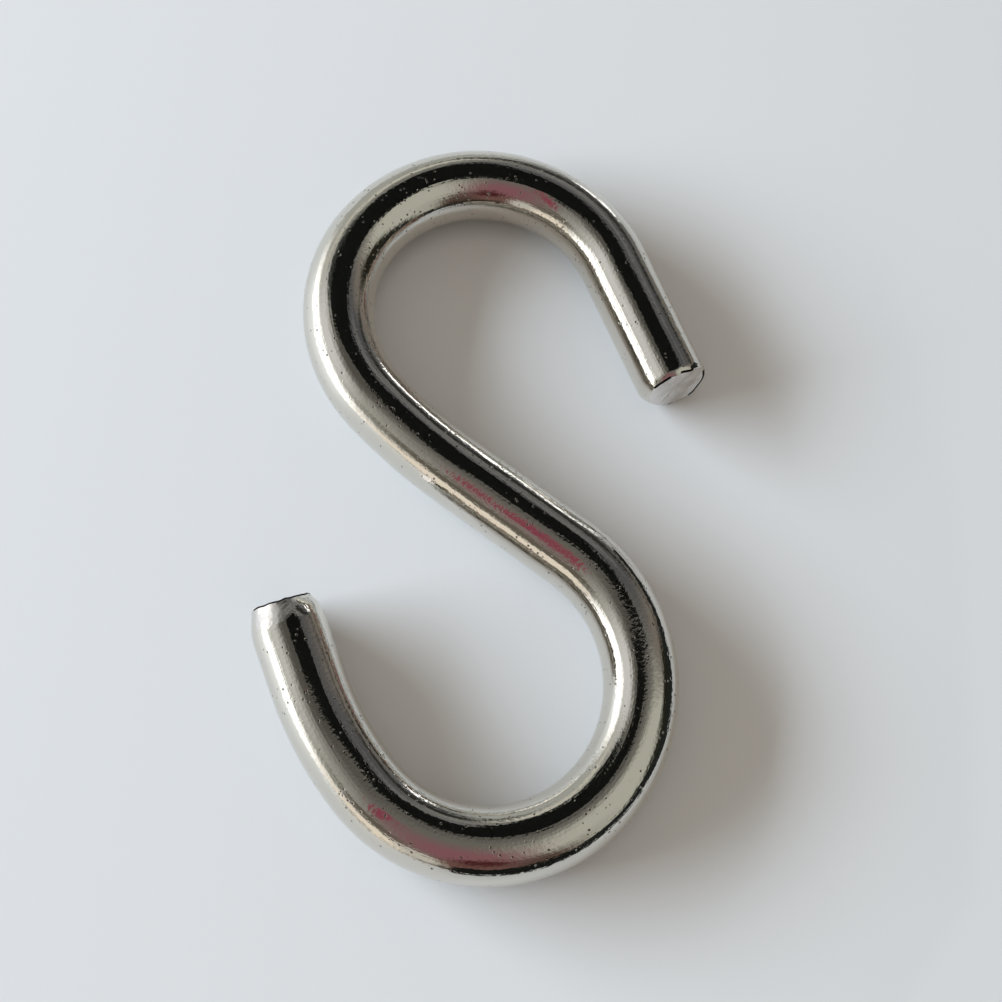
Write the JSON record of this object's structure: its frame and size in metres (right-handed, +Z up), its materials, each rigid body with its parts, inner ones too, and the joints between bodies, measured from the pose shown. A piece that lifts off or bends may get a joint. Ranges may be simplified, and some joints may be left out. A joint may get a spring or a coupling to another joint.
{
  "type": "s hook",
  "caption": "S-shaped hook bent from bright plated round steel wire, with open loops that face opposite ways and sheared ends.",
  "frame": {"origin": "the middle of the hook's footprint, on the surface that it lies on", "axes": "+Y along the load line from the lower seat to the upper seat, +Z up from the surface, +X to the side of the upper leg"},
  "size_m": [0.0296, 0.0504, 0.0048],
  "materials": {
    "plated_steel": "bright nickel plate over drawn steel wire, with fine draw marks and small pits"
  },
  "bodies": {
    "root": {"hook": "plated_steel"}
  },
  "joints": []
}
